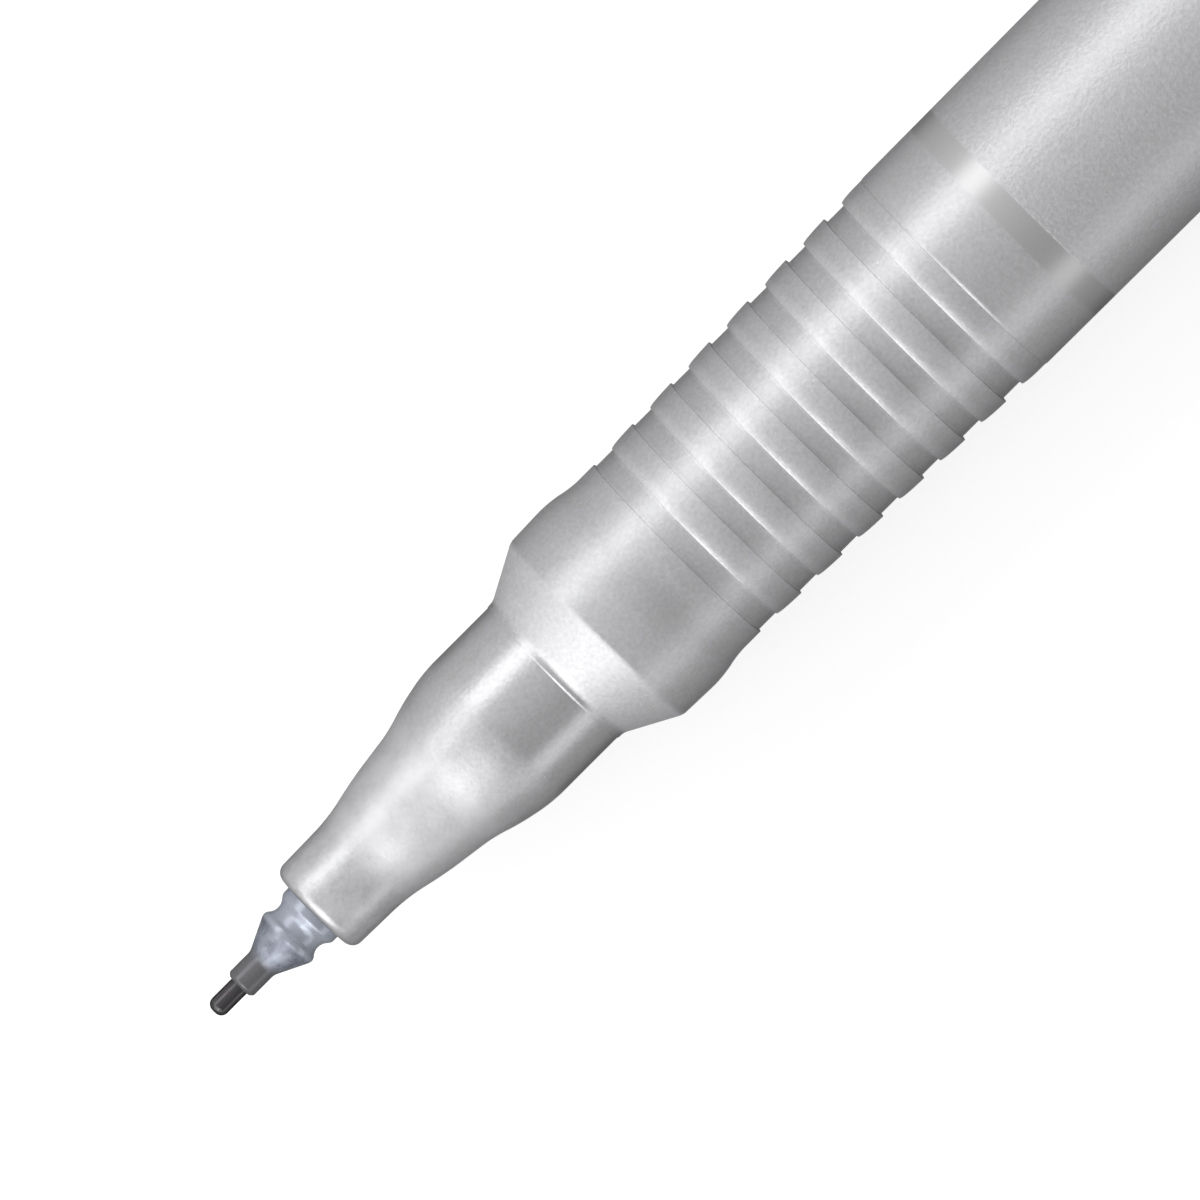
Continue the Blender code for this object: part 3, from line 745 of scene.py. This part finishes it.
def make_pearl_silver():
    """The grip's satin pearl plastic: polished on the cap seat and paler in the nose, with painted shade on
    the groove floors and painted light at the groove corners, on the ribs' front edges and on the shoulder.
    """
    material, tree, shader = new_material("pearl_silver_plastic")
    place = object_place(tree)
    along = along_pen(tree, place)
    mica = use_group(tree, PEARL, place, Flake_Spacing=0.0003, Cloud_Size=0.0009, Skin_Size=0.00017)
    clouds = mica.outputs["Clouds"]
    skin = mica.outputs["Skin"]

    nose = stretch_mask(tree, along, 0.0, SEAT_FLARE, NOSE_FADE)
    flared = stretch_mask(tree, along, FLARE_FRONT, SEAT_FLARE, FLARE_FADE)
    clouded = colour_mix(tree, clouds, (0.37, 0.37, 0.375), (0.4, 0.4, 0.405))
    mottled = colour_mix(tree, clouds, (0.35, 0.35, 0.355), (0.49, 0.49, 0.5))
    pale = colour_mix(tree, clouds, (0.45, 0.45, 0.455), (0.55, 0.55, 0.56))
    front = colour_mix(tree, flared, mottled, pale)
    body = colour_mix(tree, nose, clouded, front)
    grained = colour_mix(tree, skin, body, (0.56, 0.56, 0.575))
    flecked = colour_mix(tree, mica.outputs["Flakes"], grained, (0.6, 0.6, 0.61))

    ribbed = stretch_mask(tree, along, GROOVES_FRONT, SEAM, FINE_EDGE)
    within = within_pitch(tree, along)
    groove_front = RIB_WIDTH / 2
    groove_rear = groove_front + GROOVE_WIDTH
    floors = product(tree, ribbed, stretch_mask(tree, within, groove_front, groove_rear, FINE_EDGE))
    # Painted light: the groove's front and rear corners are made paler, against the shade that falls in them.
    front_corner_painted_light = stretch_mask(tree, within, groove_front, groove_front + CORNER_REACH, FINE_EDGE)
    rear_corner_painted_light = stretch_mask(tree, within, groove_rear - CORNER_REACH, groove_rear, FINE_EDGE)
    # Painted highlight: a paler band fades back from each rib's front edge, where the lamp's highlight and
    # its glow through the plastic fall.
    brow_highlight_mask = stretch_mask(tree, within, groove_rear, groove_rear + BROW_REACH, FINE_EDGE, BROW_FADE)
    shoulder = stretch_mask(tree, along, SHOULDER_FRONT, STOP_FRONT, SHOULDER_FADE)
    # Painted shade: the groove floors are darkened, as shade falls in them.
    groove_painted_shade = shaded(tree, floors, flecked, 0.95)
    front_painted_lit = shaded(tree, product(tree, ribbed, front_corner_painted_light), groove_painted_shade, 1.1)
    rear_painted_lit = shaded(tree, product(tree, ribbed, rear_corner_painted_light), front_painted_lit, 1.1)
    brow_highlighted = shaded(tree, product(tree, ribbed, brow_highlight_mask), rear_painted_lit, 1.13)
    # Painted highlight: the shoulder, which faces the lamp beyond the nib, is made paler to widen its
    # highlight.
    colour = shaded(tree, shoulder, brow_highlighted, 1.15)

    seat = stretch_mask(tree, along, SEAT_FRONT + SEAT_ROUNDING, SHOULDER_FRONT, SEAT_FADE)
    satin = value_mix(tree, nose, 0.42, 0.4)
    flaring = value_mix(tree, flared, satin, 0.48)
    sloping = value_mix(tree, shoulder, flaring, 0.56)
    grooved = value_mix(tree, floors, sloping, 0.4)
    roughness = value_mix(tree, seat, grooved, 0.29)
    link_finish(tree, shader, colour, roughness, skin, depth=0.000007)
    set_inputs(shader, Metallic=0.9, Specular_Tint=(0.2, 0.2, 0.2, 1.0))
    return material


def make_coated_silver():
    """The barrel's pearl plastic: fine-grained where it is coated, with a bare polished band before that."""
    material, tree, shader = new_material("coated_silver_plastic")
    place = object_place(tree)
    along = along_pen(tree, place)
    mica = use_group(tree, PEARL, place, Flake_Spacing=0.00024, Cloud_Size=0.002, Skin_Size=0.00018)
    skin = mica.outputs["Skin"]

    band = stretch_mask(tree, along, BAND_FRONT, BAND_REAR, BAND_FADE)
    coating = stretch_mask(tree, along, BAND_REAR, 2 * BARREL_REAR, BAND_FADE)
    clouded = colour_mix(tree, mica.outputs["Clouds"], (0.38, 0.38, 0.385), (0.4, 0.4, 0.405))
    grained = colour_mix(tree, skin, clouded, (0.56, 0.56, 0.575))
    colour = colour_mix(tree, band, grained, (0.45, 0.45, 0.455))

    satin = value_mix(tree, coating, 0.4, 0.45)
    roughness = value_mix(tree, band, satin, 0.33)
    coarseness = value_mix(tree, band, value_mix(tree, coating, 0.4, 1.0), 0.1)
    link_finish(tree, shader, colour, roughness, product(tree, skin, coarseness), depth=0.00002)
    set_inputs(shader, Metallic=0.9, Specular_Tint=(0.2, 0.2, 0.2, 1.0))
    return material


def make_clear_grey():
    """The nib holder's cloudy blue-grey plastic, which the inked nib darkens where there is little wall over
    it, with painted light that makes its recessed neck paler.
    """
    material, tree, shader = new_material("clear_grey_plastic")
    place = object_place(tree)
    along = along_pen(tree, place)
    mica = use_group(tree, PEARL, place, Flake_Spacing=0.0004, Cloud_Size=0.0007, Skin_Size=0.0004)
    clouds = mica.outputs["Clouds"]
    sleeve = stretch_mask(tree, along, 0.0, SLEEVE_REAR + SLEEVE_ROUNDING, SLEEVE_FADE)
    clouded = colour_mix(tree, clouds, (0.155, 0.164, 0.197), (0.28, 0.3, 0.35))
    # Painted light: the recessed neck behind the cone's rim is made paler, against the shade that falls
    # there.
    neck = stretch_mask(tree, along, CONE_REAR, SHANK_REAR, NECK_FADE)
    neck_painted_light = colour_mix(tree, neck, clouded, (0.35, 0.375, 0.43))
    colour = colour_mix(tree, sleeve, neck_painted_light, (0.14, 0.14, 0.148))
    roughness = value_mix(tree, clouds, 0.22, 0.32)
    link_finish(tree, shader, colour, roughness, mica.outputs["Skin"], depth=0.000007)
    set_inputs(shader, Metallic=0.5, Specular_Tint=(0.0, 0.0, 0.0, 1.0))
    set_inputs(shader, Transmission_Weight=0.1, IOR=1.45)
    return material


def make_inked_nib():
    """The nib's hard fibre rod, black and wet with ink, with its fibres along it."""
    material, tree, shader = new_material("inked_nib_fibre")
    skin = use_group(tree, MOULDED, object_place(tree), Grain_Size=0.0001, Scuff_Width=0.00004)
    scuffs = skin.outputs["Scuffs"]
    colour = colour_mix(tree, scuffs, (0.075, 0.072, 0.075), (0.11, 0.105, 0.11))
    roughness = value_mix(tree, skin.outputs["Grain"], 0.1, 0.22)
    link_finish(tree, shader, colour, roughness, scuffs, depth=0.000004)
    set_inputs(shader, Metallic=0.85, Specular_Tint=(0.0, 0.0, 0.0, 1.0))
    return material


def make_black_plastic(name, smoothest, roughest):
    """Black moulded plastic, with a faint skin and a few fine handling scuffs."""
    material, tree, shader = new_material(name)
    skin = use_group(tree, MOULDED, object_place(tree), Grain_Size=0.00025, Scuff_Width=0.00009)
    scuffs = skin.outputs["Scuffs"]
    grain = skin.outputs["Grain"]
    colour = colour_mix(tree, scuffs, (0.016, 0.016, 0.018), (0.022, 0.022, 0.024))
    uneven = value_mix(tree, grain, smoothest, (smoothest + roughest) / 2)
    roughness = value_mix(tree, scuffs, uneven, roughest)
    link_finish(tree, shader, colour, roughness, grain, depth=0.000006)
    return material


def make_white_liner():
    """The soft white plastic of the seal in the cap."""
    material, tree, shader = new_material("white_liner_plastic")
    skin = use_group(tree, MOULDED, object_place(tree), Grain_Size=0.0004, Scuff_Width=0.0002)
    grain = skin.outputs["Grain"]
    colour = colour_mix(tree, grain, (0.74, 0.74, 0.72), (0.84, 0.84, 0.82))
    roughness = value_mix(tree, skin.outputs["Scuffs"], 0.45, 0.6)
    link_finish(tree, shader, colour, roughness, grain, depth=0.000008)
    return material


def make_inked_fibre():
    """The reservoir's bundled fibres, soaked with ink."""
    material, tree, shader = new_material("inked_reservoir_fibre")
    skin = use_group(tree, MOULDED, object_place(tree), Grain_Size=0.0006, Scuff_Width=0.00012)
    scuffs = skin.outputs["Scuffs"]
    colour = colour_mix(tree, scuffs, (0.03, 0.03, 0.035), (0.09, 0.09, 0.1))
    roughness = value_mix(tree, skin.outputs["Grain"], 0.75, 0.95)
    link_finish(tree, shader, colour, roughness, scuffs, depth=0.00004)
    return material


def make_clear_film():
    """The thin clear film round the reservoir."""
    material, tree, shader = new_material("clear_film_plastic")
    skin = use_group(tree, MOULDED, object_place(tree), Grain_Size=0.0008, Scuff_Width=0.0003)
    grain = skin.outputs["Grain"]
    colour = colour_mix(tree, skin.outputs["Scuffs"], (0.8, 0.82, 0.84), (0.7, 0.72, 0.74))
    roughness = value_mix(tree, grain, 0.08, 0.2)
    link_finish(tree, shader, colour, roughness, grain, depth=0.00001)
    set_inputs(shader, Transmission_Weight=0.85, IOR=1.5)
    return material


def make_floor():
    """A pale floor that keeps the pen's soft shadow, with painted light in its colour: paler on the long
    key's side and darker on the other, so that the pen's reflections of it are darker on that side.
    """
    material, tree, shader = new_material("pale_floor")
    set_inputs(shader, Roughness=0.9, Specular_IOR_Level=0.0, Emission_Color=(1.0, 1.0, 1.0, 1.0))
    side = node(tree, "ShaderNodeSeparateXYZ")
    fade = node(tree, "ShaderNodeMapRange", interpolation_type="SMOOTHSTEP")
    set_inputs(fade, From_Min=-FLOOR_FADE, From_Max=FLOOR_FADE)
    tree.links.new(object_place(tree), side.inputs["Vector"])
    tree.links.new(side.outputs["Y"], fade.inputs["Value"])
    # Painted light and shade: the floor's colour is paler on the long key's side and darker on the other
    # side.
    colour = colour_mix(tree, fade.outputs["Result"], (0.3, 0.3, 0.3), (0.53, 0.53, 0.53))
    tree.links.new(colour, shader.inputs["Base Color"])
    seen = node(tree, "ShaderNodeLightPath")
    mirrored = node(tree, "ShaderNodeMath", operation="MAXIMUM")
    tree.links.new(seen.outputs["Is Glossy Ray"], mirrored.inputs[0])
    tree.links.new(seen.outputs["Is Transmission Ray"], mirrored.inputs[1])
    mirrored_top_up = value_mix(tree, mirrored.outputs["Value"], 0.0, 0.12)
    top_up = value_mix(tree, seen.outputs["Is Camera Ray"], mirrored_top_up, 0.66)
    tree.links.new(top_up, shader.inputs["Emission Strength"])
    bm = bmesh.new()
    bmesh.ops.create_grid(bm, x_segments=1, y_segments=1, size=FLOOR_REACH)
    bmesh.ops.translate(bm, verts=bm.verts, vec=(0, 0, AXIS.z - BARREL_RADIUS))
    finished("floor", bm, material)


def softbox(name, tilt, heading, width, length, radiance):
    """A softbox that faces the grip from a tilt off the zenith and a heading about it, its length across."""
    light = bpy.data.lights.new(name, "AREA")
    light.shape = "RECTANGLE"
    light.size = length
    light.size_y = width
    light.energy = pi * radiance * width * length
    lamp = bpy.data.objects.new(name, light)
    turn = Matrix.Rotation(heading, 4, "Z") @ Matrix.Rotation(tilt, 4, "X")
    middle = Vector((NIB_POINT + GROOVES_FRONT, AXIS.y, AXIS.z))
    lamp.matrix_world = Matrix.Translation(middle) @ turn @ Matrix.Translation((0, 0, LAMP_DISTANCE))
    lamp.visible_camera = False
    bpy.context.scene.collection.objects.link(lamp)


def make_lamps():
    """A long key beside the pen, a broad one with a brighter core beyond its nib, and a weak low strip."""
    softbox("key_beside", tilt=radians(-46), heading=0, width=0.28, length=1.4, radiance=1.59)
    softbox("key_beyond_nib", tilt=radians(-56), heading=radians(105), width=0.5, length=0.85, radiance=1.62)
    softbox("key_core", tilt=radians(-56), heading=radians(107), width=0.5, length=0.22, radiance=1.66)
    softbox("low_strip", tilt=radians(76), heading=0, width=0.26, length=1.0, radiance=0.83)


def make_world():
    """Pale surroundings, brighter on the long key's side."""
    world = bpy.data.worlds.new("studio")
    world.use_nodes = True
    tree = world.node_tree
    background = tree.nodes["Background"]
    around = node(tree, "ShaderNodeTexCoord")
    side = node(tree, "ShaderNodeSeparateXYZ")
    fade = node(tree, "ShaderNodeMapRange", interpolation_type="SMOOTHSTEP")
    set_inputs(fade, From_Min=-0.75, From_Max=0.45, To_Min=0.46, To_Max=0.92)
    set_inputs(background, Color=(1.0, 1.0, 1.0, 1.0))
    tree.links.new(around.outputs["Generated"], side.inputs["Vector"])
    tree.links.new(side.outputs["Y"], fade.inputs["Value"])
    tree.links.new(fade.outputs["Result"], background.inputs["Strength"])
    bpy.context.scene.world = world


def make_camera():
    """Above the pen, leaning a little towards the cap, with the nib and the pen's direction as given."""
    back = Vector((sin(VIEW_LEAN), 0, cos(VIEW_LEAN)))
    along = Vector((cos(VIEW_LEAN), 0, -sin(VIEW_LEAN)))
    across = Vector((0, 1, 0))
    right = along * cos(PEN_TURN) - across * sin(PEN_TURN)
    up = along * sin(PEN_TURN) + across * cos(PEN_TURN)
    from_middle = NIB_PIXEL - Vector((IMAGE_SIZE / 2, IMAGE_SIZE / 2))
    nib = Vector((NIB_POINT, AXIS.y, AXIS.z))
    middle = nib - right * from_middle.x / PIXELS_PER_METRE + up * from_middle.y / PIXELS_PER_METRE
    distance = IMAGE_SIZE / PIXELS_PER_METRE * LENS / SENSOR
    data = bpy.data.cameras.new("camera")
    data.lens = LENS
    data.sensor_width = SENSOR
    data.clip_end = 10 * distance
    camera = bpy.data.objects.new("camera", data)
    turn = Matrix((right, up, back)).transposed().to_4x4()
    camera.matrix_world = Matrix.Translation(middle + back * distance) @ turn
    bpy.context.scene.collection.objects.link(camera)
    bpy.context.scene.camera = camera


def dress(solid, material):
    """A CAD node that keeps its shape takes a finer material."""
    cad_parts[solid].material_slots[0].material = material


bpy.context.scene.view_settings.view_transform = "Standard"
make_camera()
make_floor()
make_lamps()
make_world()
place_on(make_nib(make_inked_nib()), "pen", "nib")
place_on(make_nib_holder(make_clear_grey()), "pen", "nib_holder")
place_on(make_grip_section(make_pearl_silver()), "pen", "grip_section")
place_on(make_barrel(make_coated_silver()), "pen", "barrel")
place_on(make_end_plug(make_black_plastic("black_plug_plastic", 0.28, 0.4)), "pen", "end_plug")
place_on(make_cap(make_black_plastic("black_cap_plastic", 0.2, 0.32)), "cap", "cap")
dress("ink_reservoir", make_inked_fibre())
dress("reservoir_film", make_clear_film())
dress("cap_liner", make_white_liner())
